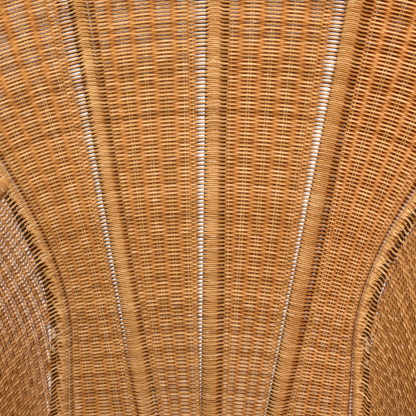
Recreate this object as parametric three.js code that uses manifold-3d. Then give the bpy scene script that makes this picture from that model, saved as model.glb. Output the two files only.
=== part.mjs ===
// Peacock chair in natural rattan: a pole frame of hoops and ribs, filled with panels of dense
// wicker weave. The sitter faces -Y, +Z is up, and the chair stands on its floor hoop at z = 0.
// All sizes are millimetres.

import * as THREE from 'three';
import { mergeVertices } from 'three/addons/utils/BufferGeometryUtils.js';
import Module from 'manifold-3d';

// Seat hoop: a rounded D in plan, square behind and round in front
const SEAT_HEIGHT = 430;
const SEAT_HALF_WIDTH = 252;
const SEAT_HALF_DEPTH = 225;
const REAR_SQUARENESS = 4;
const FRONT_SQUARENESS = 2.4;
const SEAT_HOOP_RADIUS = 11;

// Hourglass base under the seat
const FLOOR_SPREAD = 1.04;
const BASE_PINCH = 0.15;
const FLOOR_HOOP_RADIUS = 11;
const WAIST_HOOP_RADIUS = 8;
const BASE_RIB_RADIUS = 7;

// Fan back: five ribs that rise from the seat hoop and flare above the waist
const WAIST_HEIGHT = 580;
const INNER_RIB_AT_WAIST = 116;
const INNER_RIB_FLARE = 0.18;
const OUTER_RIB_AT_WAIST = 213;
const FAN_HALF_WIDTH = 505;
const SHOULDER_HEIGHT = 1220;
const FAN_HEIGHT = 1495;
const BACK_LEAN = 0.158;
const FAN_CUP = 110;
const FAN_CUP_HEIGHT = 1000;
const INNER_RIB_RADIUS = 12.5;
const OUTER_RIB_RADIUS = 8;

// Arm rails: from the outer ribs forward, then down to the front of the seat hoop
const ARM_HEIGHT_AT_BACK = 800;
const ARM_KNUCKLE_X = 292;
const ARM_KNUCKLE_Y = -150;
const ARM_KNUCKLE_HEIGHT = 655;
const ARM_FOOT_X = 200;
const ARM_RAIL_RADIUS = 8;
const ARM_BULGE = 22;
const ARM_SWEEP = 110;
const KNUCKLE_EASE = 0.5;

// Seat bars and woven deck
const SEAT_BAR_RADIUS = 7;
const SEAT_BAR_LIFT = 3;
const SEAT_BAR_PITCH = 90;
const DECK_THICKNESS = 5.5;

// Woven panels: paired stakes stand proud of the strands as five flutes in each panel
const STAKE_COLUMNS = 5;
const FIRST_STAKE = 0.13;
const STAKE_PITCH = 0.159;
const WEAVE_THICKNESS = 5;
const FLUTE_THICKNESS = 7.6;
const SKIRT_THICKNESS = 5;
const WING_THICKNESS = 3.2;

// Clearance left where one piece is fitted against another
const FIT = 0.3;

// Facets of the poles and the panels
const POLE_SIDES = 8;
const HOOP_STEPS = 32;
const RING_SAMPLES = 240;
const BASE_RIB_STEPS = 6;
const RIB_STEPS = 14;
const RIM_STEPS = 28;
const RAIL_STEPS = 18;
const SKIRT_ROWS = 5;
const SKIRT_COLUMNS = 4;
const PANEL_ROWS = 10;
const WING_ROWS = 7;
const WING_COLUMNS = 9;

// Columns of a back panel between its last stake and the next rib, closer together at the rib
const END_COLUMNS = [0.5, 0.85, 1];

const natural = { color: 0xbb8049, roughness: 0.62, metalness: 0 };
const honey = { color: 0xc58a50, roughness: 0.58, metalness: 0 };
const core = { color: 0xa5703c, roughness: 0.66, metalness: 0 };

const wasm = await Module();
wasm.setup();

const chair = new THREE.Group();

function add(name, geometry, finish) {
  const mesh = new THREE.Mesh(geometry, new THREE.MeshStandardMaterial(finish));
  mesh.name = name;
  chair.add(mesh);
}

// A closed mesh as a solid for cutting
function solidOf(geometry) {
  const bare = geometry.clone();
  bare.deleteAttribute('normal');
  bare.deleteAttribute('uv');
  const merged = mergeVertices(bare, 1e-4);
  return new wasm.Manifold(new wasm.Mesh({
    numProp: 3,
    vertProperties: new Float32Array(merged.attributes.position.array),
    triVerts: new Uint32Array(merged.index.array),
  }));
}

function geometryOf(solid) {
  const mesh = solid.getMesh();
  const geometry = new THREE.BufferGeometry();
  geometry.setAttribute('position', new THREE.BufferAttribute(mesh.vertProperties, 3));
  geometry.setIndex(new THREE.BufferAttribute(mesh.triVerts, 1));
  geometry.computeVertexNormals();
  return geometry;
}

// A piece with the space of its neighbours cut away
function fitted(geometry, neighbours) {
  let solid = solidOf(geometry);
  for (const neighbour of neighbours) {
    solid = solid.subtract(solidOf(neighbour));
  }
  return geometryOf(solid);
}

// A round pole along a curve
function pole(curve, radius, steps = RIB_STEPS) {
  const section = new THREE.Shape();
  for (let side = 0; side < POLE_SIDES; side += 1) {
    const angle = (2 * Math.PI * side) / POLE_SIDES;
    const x = radius * Math.cos(angle);
    const y = radius * Math.sin(angle);
    if (side === 0) {
      section.moveTo(x, y);
    } else {
      section.lineTo(x, y);
    }
  }
  return new THREE.ExtrudeGeometry(section, { steps, bevelEnabled: false, extrudePath: curve });
}

// A closed mesh with its faces turned outward, told by the sign of its volume
function facingOut(positions, index) {
  const corner = (which) => new THREE.Vector3().fromArray(positions, 3 * which);
  let volume = 0;
  for (let face = 0; face < index.length; face += 3) {
    const [a, b, c] = index.slice(face, face + 3).map(corner);
    volume += a.dot(b.cross(c));
  }
  const geometry = new THREE.BufferGeometry();
  geometry.setAttribute('position', new THREE.Float32BufferAttribute(positions, 3));
  geometry.setIndex(volume > 0 ? index : index.toReversed());
  return geometry;
}

// A closed mesh from rows of vertices; both the rows and the points in a row run round
function closedGrid(loops) {
  const across = loops[0].length;
  const positions = loops.flat().flatMap((point) => point.toArray());
  const index = [];
  loops.forEach((loop, row) => {
    const next = (row + 1) % loops.length;
    for (let column = 0; column < across; column += 1) {
      const beside = (column + 1) % across;
      const a = row * across + column;
      const b = row * across + beside;
      const c = next * across + beside;
      const d = next * across + column;
      index.push(a, b, c, a, c, d);
    }
  });
  return facingOut(positions, index);
}

// A point of the plan outline at an angle from +X, on a ring that is scaled about the seat axis
function ringPoint(angle, height, scale = 1) {
  const cosine = Math.cos(angle);
  const sine = Math.sin(angle);
  const power = 2 / (sine >= 0 ? REAR_SQUARENESS : FRONT_SQUARENESS);
  const x = SEAT_HALF_WIDTH * Math.sign(cosine) * Math.abs(cosine) ** power;
  const y = SEAT_HALF_DEPTH * Math.sign(sine) * Math.abs(sine) ** power;
  return new THREE.Vector3(x * scale, y * scale, height);
}

// The angle on the plan outline where it reaches a given x, behind or in front
function ringAngleAt(x, behind) {
  const power = (behind ? REAR_SQUARENESS : FRONT_SQUARENESS) / 2;
  const angle = Math.acos((Math.abs(x) / SEAT_HALF_WIDTH) ** power);
  const upward = x >= 0 ? angle : Math.PI - angle;
  return behind ? upward : -upward;
}

// Evenly spaced points along the plan outline between two angles
function ringArc(from, to, count, height, scale = 1) {
  const samples = [];
  for (let step = 0; step <= RING_SAMPLES; step += 1) {
    samples.push(ringPoint(from + ((to - from) * step) / RING_SAMPLES, height, scale));
  }
  const path = new THREE.CurvePath();
  for (let step = 0; step < RING_SAMPLES; step += 1) {
    path.add(new THREE.LineCurve3(samples[step], samples[step + 1]));
  }
  return path.getSpacedPoints(count);
}

// The whole plan outline drawn in by an inset, with the outward direction at each point
function insetRing(height, scale, inset) {
  const line = ringArc(0, 2 * Math.PI, HOOP_STEPS, height, scale).slice(0, HOOP_STEPS);
  return line.map((point, step) => {
    const before = line[(step + HOOP_STEPS - 1) % HOOP_STEPS];
    const after = line[(step + 1) % HOOP_STEPS];
    const outward = new THREE.Vector3(after.y - before.y, before.x - after.x, 0).normalize();
    return { centre: point.clone().addScaledVector(outward, -inset), outward };
  });
}

// A hoop of round pole that follows the plan outline, drawn in by an inset; one flat lies below
function hoop(height, scale, radius, inset = 0) {
  const loops = insetRing(height, scale, inset).map(({ centre, outward }) => {
    const loop = [];
    for (let side = 0; side < POLE_SIDES; side += 1) {
      const angle = (2 * Math.PI * (side + 0.5)) / POLE_SIDES - Math.PI / 2;
      loop.push(centre.clone()
        .addScaledVector(outward, radius * Math.cos(angle))
        .add(new THREE.Vector3(0, 0, radius * Math.sin(angle))));
    }
    return loop;
  });
  return closedGrid(loops);
}

// A thin curved panel: a grid of mid-surface points with a thickness for each column
function panel(grid, thicknesses) {
  const rows = grid.length;
  const columns = grid[0].length;
  const outer = [];
  const inner = [];
  for (let row = 0; row < rows; row += 1) {
    for (let column = 0; column < columns; column += 1) {
      const along = grid[Math.min(row + 1, rows - 1)][column].clone()
        .sub(grid[Math.max(row - 1, 0)][column]);
      const across = grid[row][Math.min(column + 1, columns - 1)].clone()
        .sub(grid[row][Math.max(column - 1, 0)]);
      const normal = across.cross(along).normalize();
      const half = thicknesses[column] / 2;
      outer.push(grid[row][column].clone().addScaledVector(normal, half));
      inner.push(grid[row][column].clone().addScaledVector(normal, -half));
    }
  }
  const loops = [];
  for (let row = 0; row < rows; row += 1) {
    const front = outer.slice(row * columns, (row + 1) * columns);
    const back = inner.slice(row * columns, (row + 1) * columns).reverse();
    loops.push([...front, ...back]);
  }
  return cappedGrid(loops, columns);
}

// A closed mesh from loops that run round, with each end closed as a strip between its two edges
function cappedGrid(loops, columns) {
  const across = loops[0].length;
  const positions = loops.flat().flatMap((point) => point.toArray());
  const index = [];
  for (let row = 0; row + 1 < loops.length; row += 1) {
    for (let column = 0; column < across; column += 1) {
      const beside = (column + 1) % across;
      const a = row * across + column;
      const b = row * across + beside;
      const c = (row + 1) * across + beside;
      const d = (row + 1) * across + column;
      index.push(a, b, c, a, c, d);
    }
  }
  const last = (loops.length - 1) * across;
  for (let column = 0; column + 1 < columns; column += 1) {
    const facing = across - 1 - column;
    index.push(column, facing, column + 1, column + 1, facing, facing - 1);
    index.push(last + column, last + column + 1, last + facing);
    index.push(last + column + 1, last + facing - 1, last + facing);
  }
  return facingOut(positions, index);
}

// Hoops of the base and the seat
function baseScale(height) {
  const share = height / SEAT_HEIGHT;
  return FLOOR_SPREAD + (1 - FLOOR_SPREAD) * share - BASE_PINCH * Math.sin(Math.PI * share);
}

const floorHoopHeight = FLOOR_HOOP_RADIUS * Math.cos(Math.PI / POLE_SIDES);
const floorScale = baseScale(floorHoopHeight);
const waistHoopHeight = SEAT_HEIGHT / 2;
const waistHoopInset = BASE_RIB_RADIUS + WAIST_HOOP_RADIUS + FIT;

add('seat_hoop', hoop(SEAT_HEIGHT, 1, SEAT_HOOP_RADIUS), natural);
add('floor_hoop', hoop(floorHoopHeight, floorScale, FLOOR_HOOP_RADIUS), natural);
add('base_waist_hoop',
  hoop(waistHoopHeight, baseScale(waistHoopHeight), WAIST_HOOP_RADIUS, waistHoopInset), core);

const seatHoopSpace = hoop(SEAT_HEIGHT, 1, SEAT_HOOP_RADIUS + FIT);
const floorHoopSpace = hoop(floorHoopHeight, floorScale, FLOOR_HOOP_RADIUS + FIT);

// Base ribs: bent poles coped between the floor hoop and the seat hoop
const rearCorner = ringAngleAt(OUTER_RIB_AT_WAIST, true);
const frontCorner = ringAngleAt(ARM_FOOT_X, false);
const baseRibAngles = {
  right: 0,
  rear_right: rearCorner,
  rear: Math.PI / 2,
  rear_left: Math.PI - rearCorner,
  left: Math.PI,
  front_left: Math.PI - frontCorner,
  front: (3 * Math.PI) / 2,
  front_right: 2 * Math.PI + frontCorner,
};

class BaseRibCurve extends THREE.Curve {
  constructor(angle) {
    super();
    this.angle = angle;
  }

  getPoint(share, target = new THREE.Vector3()) {
    const height = floorHoopHeight + (SEAT_HEIGHT - floorHoopHeight) * share;
    return target.copy(ringPoint(this.angle, height, baseScale(height)));
  }
}

const baseRibSpaces = {};
for (const [place, angle] of Object.entries(baseRibAngles)) {
  const curve = new BaseRibCurve(angle);
  const rib = pole(curve, BASE_RIB_RADIUS, BASE_RIB_STEPS);
  add(`base_rib_${place}`, fitted(rib, [seatHoopSpace, floorHoopSpace]), core);
  baseRibSpaces[place] = pole(curve, BASE_RIB_RADIUS + FIT, BASE_RIB_STEPS);
}

// Skirt: eight woven panels, each between two base ribs
const ribPlaces = Object.keys(baseRibAngles);
ribPlaces.forEach((place, position) => {
  const nextPlace = ribPlaces[(position + 1) % ribPlaces.length];
  const from = baseRibAngles[place];
  const to = position + 1 < ribPlaces.length ? baseRibAngles[nextPlace] : 2 * Math.PI;
  const grid = [];
  for (let row = 0; row <= SKIRT_ROWS; row += 1) {
    const height = floorHoopHeight + ((SEAT_HEIGHT - floorHoopHeight) * row) / SKIRT_ROWS;
    grid.push(ringArc(from, to, SKIRT_COLUMNS, height, baseScale(height)));
  }
  const sheet = panel(grid, new Array(SKIRT_COLUMNS + 1).fill(SKIRT_THICKNESS));
  const neighbours = [seatHoopSpace, floorHoopSpace, baseRibSpaces[place], baseRibSpaces[nextPlace]];
  add(`skirt_${place}_to_${nextPlace}`, fitted(sheet, neighbours), honey);
});

// Seat bars: four straight poles coped into the seat hoop
const barHeight = SEAT_HEIGHT - SEAT_HOOP_RADIUS + SEAT_BAR_LIFT + SEAT_BAR_RADIUS;
const barPlaces = ['front', 'mid_front', 'mid_rear', 'rear'];
barPlaces.forEach((place, position) => {
  const y = (position - (barPlaces.length - 1) / 2) * SEAT_BAR_PITCH;
  const squareness = y > 0 ? REAR_SQUARENESS : FRONT_SQUARENESS;
  const share = (1 - (Math.abs(y) / SEAT_HALF_DEPTH) ** squareness) ** (1 / squareness);
  const reach = SEAT_HALF_WIDTH * share;
  const line = new THREE.LineCurve3(
    new THREE.Vector3(-reach, y, barHeight),
    new THREE.Vector3(reach, y, barHeight),
  );
  add(`seat_bar_${place}`, fitted(pole(line, SEAT_BAR_RADIUS, 1), [seatHoopSpace]), core);
});

// The fan surface. Across it, u is -1 and 1 at the outer ribs, -0.5 and 0.5 at the inner ribs and
// 0 at the centre rib; up it, z is the height above the floor.
function outerRibX(z) {
  const share = Math.min(Math.max((z - WAIST_HEIGHT) / (SHOULDER_HEIGHT - WAIST_HEIGHT), 0), 1);
  const flare = share * share * (3 - 2 * share);
  return OUTER_RIB_AT_WAIST + (FAN_HALF_WIDTH - OUTER_RIB_AT_WAIST) * flare;
}

function fanX(u, z) {
  const inner = INNER_RIB_AT_WAIST + INNER_RIB_FLARE * (z - WAIST_HEIGHT);
  const cubic = ((outerRibX(z) - 2 * inner) * 4) / 3;
  return u * (2 * inner - cubic / 4 + cubic * u * u);
}

function fanPoint(u, z) {
  const footX = Math.abs(fanX(u, SEAT_HEIGHT)) / SEAT_HALF_WIDTH;
  const footY = SEAT_HALF_DEPTH * (1 - footX ** REAR_SQUARENESS) ** (1 / REAR_SQUARENESS);
  const rise = z - SEAT_HEIGHT;
  const cup = FAN_CUP * (rise / FAN_CUP_HEIGHT) ** 2 * u * u;
  return new THREE.Vector3(fanX(u, z), footY + BACK_LEAN * rise - cup, z);
}

// The rim arches from shoulder to shoulder as half an ellipse
function archHeight(x) {
  const share = Math.min(Math.abs(x) / FAN_HALF_WIDTH, 1);
  return SHOULDER_HEIGHT + (FAN_HEIGHT - SHOULDER_HEIGHT) * Math.sqrt(1 - share * share);
}

const SETTLING_STEPS = 30;

function topOfRib(u) {
  let z = SHOULDER_HEIGHT;
  for (let step = 0; step < SETTLING_STEPS; step += 1) {
    z = archHeight(fanX(u, z));
  }
  return z;
}

class FanRibCurve extends THREE.Curve {
  constructor(u, top) {
    super();
    this.u = u;
    this.top = top;
  }

  getPoint(share, target = new THREE.Vector3()) {
    return target.copy(fanPoint(this.u, SEAT_HEIGHT + (this.top - SEAT_HEIGHT) * share));
  }
}

class RimCurve extends THREE.Curve {
  getPoint(share, target = new THREE.Vector3()) {
    const angle = Math.PI * (0.5 - share);
    const x = FAN_HALF_WIDTH * Math.sin(angle);
    const z = archHeight(x) + FIT;
    let u = x / FAN_HALF_WIDTH;
    for (let step = 0; step < SETTLING_STEPS; step += 1) {
      u *= x === 0 ? 0 : x / fanX(u, z);
    }
    return target.copy(fanPoint(u, z));
  }
}

const rimCurve = new RimCurve();
add('fan_rim', pole(rimCurve, OUTER_RIB_RADIUS, RIM_STEPS), natural);
const rimSpace = pole(rimCurve, OUTER_RIB_RADIUS + FIT, RIM_STEPS);

// A coped pole stops short of its neighbour's centre line, so that its end wraps only the near side
const copeDepth = OUTER_RIB_RADIUS / 2;

const fanRibs = [
  { place: 'left_outer', u: -1 },
  { place: 'left_inner', u: -0.5 },
  { place: 'center', u: 0 },
  { place: 'right_inner', u: 0.5 },
  { place: 'right_outer', u: 1 },
];
for (const rib of fanRibs) {
  const isOuter = Math.abs(rib.u) === 1;
  const radius = isOuter ? OUTER_RIB_RADIUS : INNER_RIB_RADIUS;
  const curve = new FanRibCurve(rib.u, isOuter ? SHOULDER_HEIGHT : topOfRib(rib.u) - copeDepth);
  const seats = isOuter ? [seatHoopSpace] : [seatHoopSpace, rimSpace];
  add(`fan_rib_${rib.place}`, fitted(pole(curve, radius), seats), natural);
  rib.space = pole(curve, radius + FIT);
}

// Back panels: dense weave between neighbouring ribs, fluted by its five columns of paired stakes
const across = [0];
const thicknesses = [WEAVE_THICKNESS];
for (let stake = 0; stake < STAKE_COLUMNS; stake += 1) {
  if (stake > 0) {
    across.push(FIRST_STAKE + STAKE_PITCH * (stake - 0.5));
    thicknesses.push(WEAVE_THICKNESS);
  }
  across.push(FIRST_STAKE + STAKE_PITCH * stake);
  thicknesses.push(FLUTE_THICKNESS);
}
const lastStake = FIRST_STAKE + STAKE_PITCH * (STAKE_COLUMNS - 1);
for (const share of END_COLUMNS) {
  across.push(lastStake + (1 - lastStake) * share);
  thicknesses.push(WEAVE_THICKNESS);
}

['left_outer', 'left_inner', 'right_inner', 'right_outer'].forEach((place, bay) => {
  const from = fanRibs[bay];
  const to = fanRibs[bay + 1];
  const columns = across.map((share) => from.u + (to.u - from.u) * share);
  const tops = columns.map(topOfRib);
  const grid = [];
  for (let row = 0; row <= PANEL_ROWS; row += 1) {
    const share = row / PANEL_ROWS;
    grid.push(columns.map((u, column) => fanPoint(u, SEAT_HEIGHT + (tops[column] - SEAT_HEIGHT) * share)));
  }
  const neighbours = [seatHoopSpace, rimSpace, from.space, to.space];
  add(`back_panel_${place}`, fitted(panel(grid, thicknesses), neighbours), honey);
});

// Arm rails and wings, one pair for each side
const railSpaces = [];
for (const [side, mirror, ribIndex] of [['left', -1, 0], ['right', 1, 4]]) {
  const rib = fanRibs[ribIndex];
  const knuckle = new THREE.Vector3(mirror * ARM_KNUCKLE_X, ARM_KNUCKLE_Y, ARM_KNUCKLE_HEIGHT);
  const foot = ringPoint(frontCorner, SEAT_HEIGHT);
  foot.x *= mirror;
  const fall = (ARM_HEIGHT_AT_BACK - ARM_KNUCKLE_HEIGHT) / 4;
  const away = new THREE.Vector3(mirror * ARM_BULGE, -ARM_SWEEP, -fall);
  const joint = fanPoint(rib.u, ARM_HEIGHT_AT_BACK).add(away.clone().setLength(copeDepth));
  const leave = joint.clone().add(away);
  const arrive = knuckle.clone().add(new THREE.Vector3(mirror * ARM_BULGE / 2, ARM_SWEEP, fall / 2));
  const turn = knuckle.clone().addScaledVector(arrive.clone().sub(knuckle), -KNUCKLE_EASE);
  const land = foot.clone().add(new THREE.Vector3(mirror * ARM_BULGE, -ARM_BULGE, ARM_SWEEP));
  const rest = new THREE.CubicBezierCurve3(joint, leave, arrive, knuckle);
  const drop = new THREE.CubicBezierCurve3(knuckle, turn, land, foot);
  const rail = new THREE.CurvePath();
  rail.add(rest);
  rail.add(drop);
  add(`arm_rail_${side}`,
    fitted(pole(rail, ARM_RAIL_RADIUS, RAIL_STEPS), [rib.space, seatHoopSpace]), natural);
  const railSpace = pole(rail, ARM_RAIL_RADIUS + FIT, RAIL_STEPS);
  railSpaces.push(railSpace);

  // The wing is a patch stretched between the outer rib, the arm rail and the seat hoop
  const start = mirror > 0 ? rearCorner : Math.PI - rearCorner;
  const end = mirror > 0 ? frontCorner : Math.PI - frontCorner;
  const bottom = ringArc(start, end, WING_COLUMNS, SEAT_HEIGHT);
  const grid = [];
  for (let row = 0; row <= WING_ROWS; row += 1) {
    const v = row / WING_ROWS;
    const rear = fanPoint(rib.u, SEAT_HEIGHT + (ARM_HEIGHT_AT_BACK - SEAT_HEIGHT) * v);
    const front = drop.getPoint(1 - v);
    grid.push(bottom.map((low, column) => {
      const w = column / WING_COLUMNS;
      const corners = bottom[0].clone().lerp(joint, v).lerp(foot.clone().lerp(knuckle, v), w);
      return low.clone().lerp(rest.getPoint(w), v)
        .add(rear.clone().lerp(front, w))
        .sub(corners);
    }));
  }
  const wing = panel(grid, new Array(WING_COLUMNS + 1).fill(WING_THICKNESS));
  add(`wing_${side}`, fitted(wing, [rib.space, railSpace, seatHoopSpace]), honey);
}

// Seat deck: woven inside the hoop, over the bars and round the feet of the ribs and arm rails
const deckInset = FLUTE_THICKNESS / 2 + FIT;
const deckOutline = new THREE.Shape(
  insetRing(0, 1, deckInset).map(({ centre }) => new THREE.Vector2(centre.x, centre.y)),
);
const deck = new THREE.ExtrudeGeometry(deckOutline, { depth: DECK_THICKNESS, bevelEnabled: false });
deck.translate(0, 0, barHeight + SEAT_BAR_RADIUS + FIT);
const deckNeighbours = [seatHoopSpace, ...fanRibs.map((rib) => rib.space), ...railSpaces];
add('seat_deck', fitted(deck, deckNeighbours), honey);

// The origin lies on the floor under the middle of the chair's outline
const box = new THREE.Box3().setFromObject(chair);
chair.position.y = -(box.min.y + box.max.y) / 2;

export default chair;
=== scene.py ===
import bpy
import numpy as np
from mathutils import Matrix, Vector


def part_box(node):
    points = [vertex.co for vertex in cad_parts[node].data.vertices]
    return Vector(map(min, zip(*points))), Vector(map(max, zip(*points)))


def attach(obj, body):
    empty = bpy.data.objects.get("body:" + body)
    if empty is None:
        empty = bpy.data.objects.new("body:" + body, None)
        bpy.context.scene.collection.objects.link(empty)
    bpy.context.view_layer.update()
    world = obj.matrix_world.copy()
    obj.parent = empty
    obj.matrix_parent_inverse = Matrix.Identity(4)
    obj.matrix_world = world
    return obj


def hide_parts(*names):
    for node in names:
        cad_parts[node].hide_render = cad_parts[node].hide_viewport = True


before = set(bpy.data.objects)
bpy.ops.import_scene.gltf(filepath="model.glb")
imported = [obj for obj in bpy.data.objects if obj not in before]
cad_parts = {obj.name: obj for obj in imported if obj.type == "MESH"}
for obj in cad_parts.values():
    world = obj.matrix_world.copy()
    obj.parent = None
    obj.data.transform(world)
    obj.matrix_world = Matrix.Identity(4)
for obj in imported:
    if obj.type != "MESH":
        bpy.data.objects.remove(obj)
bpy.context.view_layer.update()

# Floor hoop and waist hoop
# Two bare rattan poles bent to the plan of the seat, a rounded D, with their ends spliced at the side.
# The chair stands on the floor hoop; the waist hoop is nailed inside the base ribs where they draw in.
SEAT_HALF_WIDTH = 0.252
SEAT_HALF_DEPTH = 0.225
REAR_SQUARENESS = 4
FRONT_SQUARENESS = 2.4
FLOOR_SPREAD = 1.04
BASE_PINCH = 0.15
FLOOR_HOOP_RADIUS = 0.0101
WAIST_HOOP_RADIUS = 0.008
BASE_RIB_RADIUS = 0.007
POLE_SIDES = 16
POLE_BAND_STEPS = 40
HOOP_STATIONS = 241
PLAN_STATIONS = 1441
NODE_SPACING = 0.31
FIRST_NODE = 0.37
NODE_HALF_LENGTH = 0.005
NODE_SWELL = 0.05
POLE_TONE = 0.45
NODE_DARKENING = 0.35
LEVEL_WITHIN = 0.1
LEVEL_FACING = np.array([0.13, 0.27, 0.95])
UPRIGHT_FACING = np.array([0.11, 0.97, 0.21])
BAND_LENGTH = 0.94
BAND_MARGIN = 0.1
END_PLACES = np.array([0.96, 0.985])
END_HALF_LENGTH = 0.008
END_HALF_BREADTH = 0.35
GRAIN_STRETCH = 0.012
TONE_SPREAD = 37.0
TONE_WEIGHT = 0.72
PATCH_WEIGHT = 0.5
GRAIN_WEIGHT = 0.25
SHADE_SHIFT = 0.235
# Pale spots along the strands: scuffs, and painted highlights in place of sheen
SCUFF_AND_HIGHLIGHT_FROM = 0.66
SCUFF_AND_HIGHLIGHT_TO = 0.74
SCUFF_AND_HIGHLIGHT_COVER = 0.75
SCUFF_AND_HIGHLIGHT_COLOUR = (0.80, 0.62, 0.42, 1)
# Painted shade: where a strand lies behind its neighbours its colour is multiplied by this colour and raised
# to a higher power by the deepening
PAINTED_SHADE_COLOUR = (0.58, 0.32, 0.16, 1)
DEEPENING = 1.8
ROUGHNESS_SPREAD = 0.25

seat_hoop_low, seat_hoop_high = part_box("seat_hoop")
SEAT_HEIGHT = (seat_hoop_low.z + seat_hoop_high.z) / 2
SEAT_MIDDLE = (seat_hoop_low.y + seat_hoop_high.y) / 2


def unit(vectors):
    """Vectors divided by their own lengths."""
    return vectors / np.linalg.norm(vectors, axis=-1, keepdims=True)


def lengths_along(points):
    """Distance of each point of a polyline from its first, as the running sum of its steps."""
    steps = np.linalg.norm(np.diff(points, axis=-2), axis=-1)
    start = np.zeros(steps.shape[:-1] + (1,))
    return np.concatenate([start, np.cumsum(steps, axis=-1)], axis=-1)


def evenly(points, shares):
    """Points at given shares of a polyline's length, by straight interpolation of each coordinate."""
    run = lengths_along(points)
    return np.stack([np.interp(np.asarray(shares) * run[-1], run, axis) for axis in points.T], axis=-1)


def plan_ring(angle, scale=1.0):
    """Plan outline of the seat: a superellipse, squarer where the sine is positive, times a scale."""
    cosine, sine = np.cos(angle), np.sin(angle)
    power = 2 / np.where(sine >= 0, REAR_SQUARENESS, FRONT_SQUARENESS)
    x = SEAT_HALF_WIDTH * np.sign(cosine) * np.abs(cosine) ** power
    y = SEAT_HALF_DEPTH * np.sign(sine) * np.abs(sine) ** power
    return np.stack([x * scale, SEAT_MIDDLE + y * scale], axis=-1)


def base_scale(height):
    """Scale of the plan at a height: it spreads in a straight line to the floor, less half a sine wave."""
    share = height / SEAT_HEIGHT
    return FLOOR_SPREAD + (1 - FLOOR_SPREAD) * share - BASE_PINCH * np.sin(np.pi * share)


def at_height(plan, height):
    """Plan points lifted to one height, or each to its own."""
    height = np.broadcast_to(height, plan.shape[:-1])
    return np.concatenate([plan, height[..., None]], axis=-1)


def round_strands(name, paths, facing, radius, sides, tone, painted_shade=(0, 0, 0), begins=0.0, steps_in_band=None):
    """Round strands along paths, an array of strands by stations by 3, as one mesh.

    Each station carries a ring: the path point plus the radius times the cosine of the ring angle along
    facing, made square to the path, plus the sine of it along their cross product. Ends are closed. The
    map Strand holds the length along a strand, from begins, and the share round it; OFBake lays bands of
    the strands side by side. Tone is each station's shade. A painted shade is given for its front, its
    back and its sides, by how far they lie in the shade of its neighbours.
    """
    count, stations = paths.shape[:2]
    run = unit(np.gradient(paths, axis=1))
    across = unit(np.cross(run, np.broadcast_to(facing, paths.shape)))
    proud = np.cross(across, run)
    angle = 2 * np.pi * np.arange(sides) / sides
    ring = np.cos(angle)[:, None] * proud[:, :, None] + np.sin(angle)[:, None] * across[:, :, None]
    width = np.broadcast_to(radius, (count, stations))
    points = paths[:, :, None] + width[:, :, None, None] * ring

    corner = np.arange(count * stations * sides).reshape(count, stations, sides)
    following = np.roll(corner, -1, axis=2)
    quads = np.stack([corner[:, :-1], following[:, :-1], following[:, 1:], corner[:, 1:]], axis=-1)
    caps = np.stack([corner[:, 0, ::-1], corner[:, -1]], axis=1)
    corners = np.concatenate([quads.ravel(), caps.ravel()])
    sizes = np.concatenate([np.full(quads.size // 4, 4), np.full(caps.size // sides, sides)])

    mesh = bpy.data.meshes.new(name)
    mesh.vertices.add(points.size // 3)
    mesh.vertices.foreach_set("co", points.ravel())
    mesh.loops.add(corners.size)
    mesh.loops.foreach_set("vertex_index", corners)
    mesh.polygons.add(sizes.size)
    mesh.polygons.foreach_set("loop_start", np.cumsum(sizes) - sizes)
    mesh.polygons.foreach_set("use_smooth", np.ones(sizes.size, dtype=bool))
    mesh.update(calc_edges=True)

    length = lengths_along(paths)
    reached = length + np.reshape(begins, (-1, 1))
    share_round = np.arange(sides + 1) / sides
    along = np.stack([reached[:, :-1], reached[:, :-1], reached[:, 1:], reached[:, 1:]], axis=-1)
    around = np.stack([share_round[:-1], share_round[1:], share_round[1:], share_round[:-1]], axis=-1)
    strand_quads = np.stack(np.broadcast_arrays(along[:, :, None], around), axis=-1)
    strand_caps = np.zeros((count, 2, sides, 2))
    strand_caps[..., 0] = reached[:, [0, -1]][..., None]
    strand_map = mesh.uv_layers.new(name="Strand")
    strand_map.uv.foreach_set("vector", np.concatenate([strand_quads.ravel(), strand_caps.ravel()]))

    # Bands are stacked in columns, so that a band keeps about the shape of the strand that it holds
    in_band = steps_in_band or stations - 1
    bands = -(-(stations - 1) // in_band)
    girth = 2 * np.pi * width.mean()
    band_length = length[:, -1].mean() / bands
    columns = max(1, round((count * bands * girth / band_length) ** 0.5))
    rows = -(-count * bands // columns)
    step = np.arange(stations - 1)
    band = np.arange(count)[:, None] * bands + step // in_band
    column, row = band // rows, band % rows
    steps_along = (step % in_band)[:, None, None] + np.array([0, 0, 1, 1])
    side_u = column[..., None, None] + BAND_LENGTH * steps_along / in_band
    side_v = row[..., None, None] + BAND_MARGIN + (1 - 2 * BAND_MARGIN) * around
    bake_quads = np.stack(np.broadcast_arrays(side_u, side_v), axis=-1)
    end_u = column[:, [0, -1], None] + END_PLACES[:, None] + END_HALF_LENGTH * np.cos(angle)
    end_v = row[:, [0, -1], None] + 0.5 + END_HALF_BREADTH * np.sin(angle)
    bake_caps = np.stack(np.broadcast_arrays(end_u, end_v), axis=-1)
    bake = np.concatenate([bake_quads.reshape(-1, 2), bake_caps.reshape(-1, 2)]) / (columns, rows)
    bake_map = mesh.uv_layers.new(name="OFBake")
    bake_map.uv.foreach_set("vector", bake.ravel())
    spread = np.broadcast_to(tone, (count, stations))
    mesh.attributes.new("tone", "FLOAT", "POINT").data.foreach_set("value", np.repeat(spread, sides))
    # Painted shade for each corner of a ring, from its front, back and sides
    before, behind, beside = (np.broadcast_to(part, (count, stations))[..., None] for part in painted_shade)
    shade = behind + (before - behind) * np.clip(0.5 + np.cos(angle), 0, 1)
    shade = 1 - (1 - shade) * (1 - beside * np.abs(np.sin(angle)))
    mesh.attributes.new("painted_shade", "FLOAT", "POINT").data.foreach_set("value", shade.ravel())
    piece = bpy.data.objects.new(name, mesh)
    bpy.context.scene.collection.objects.link(piece)
    return piece


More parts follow.
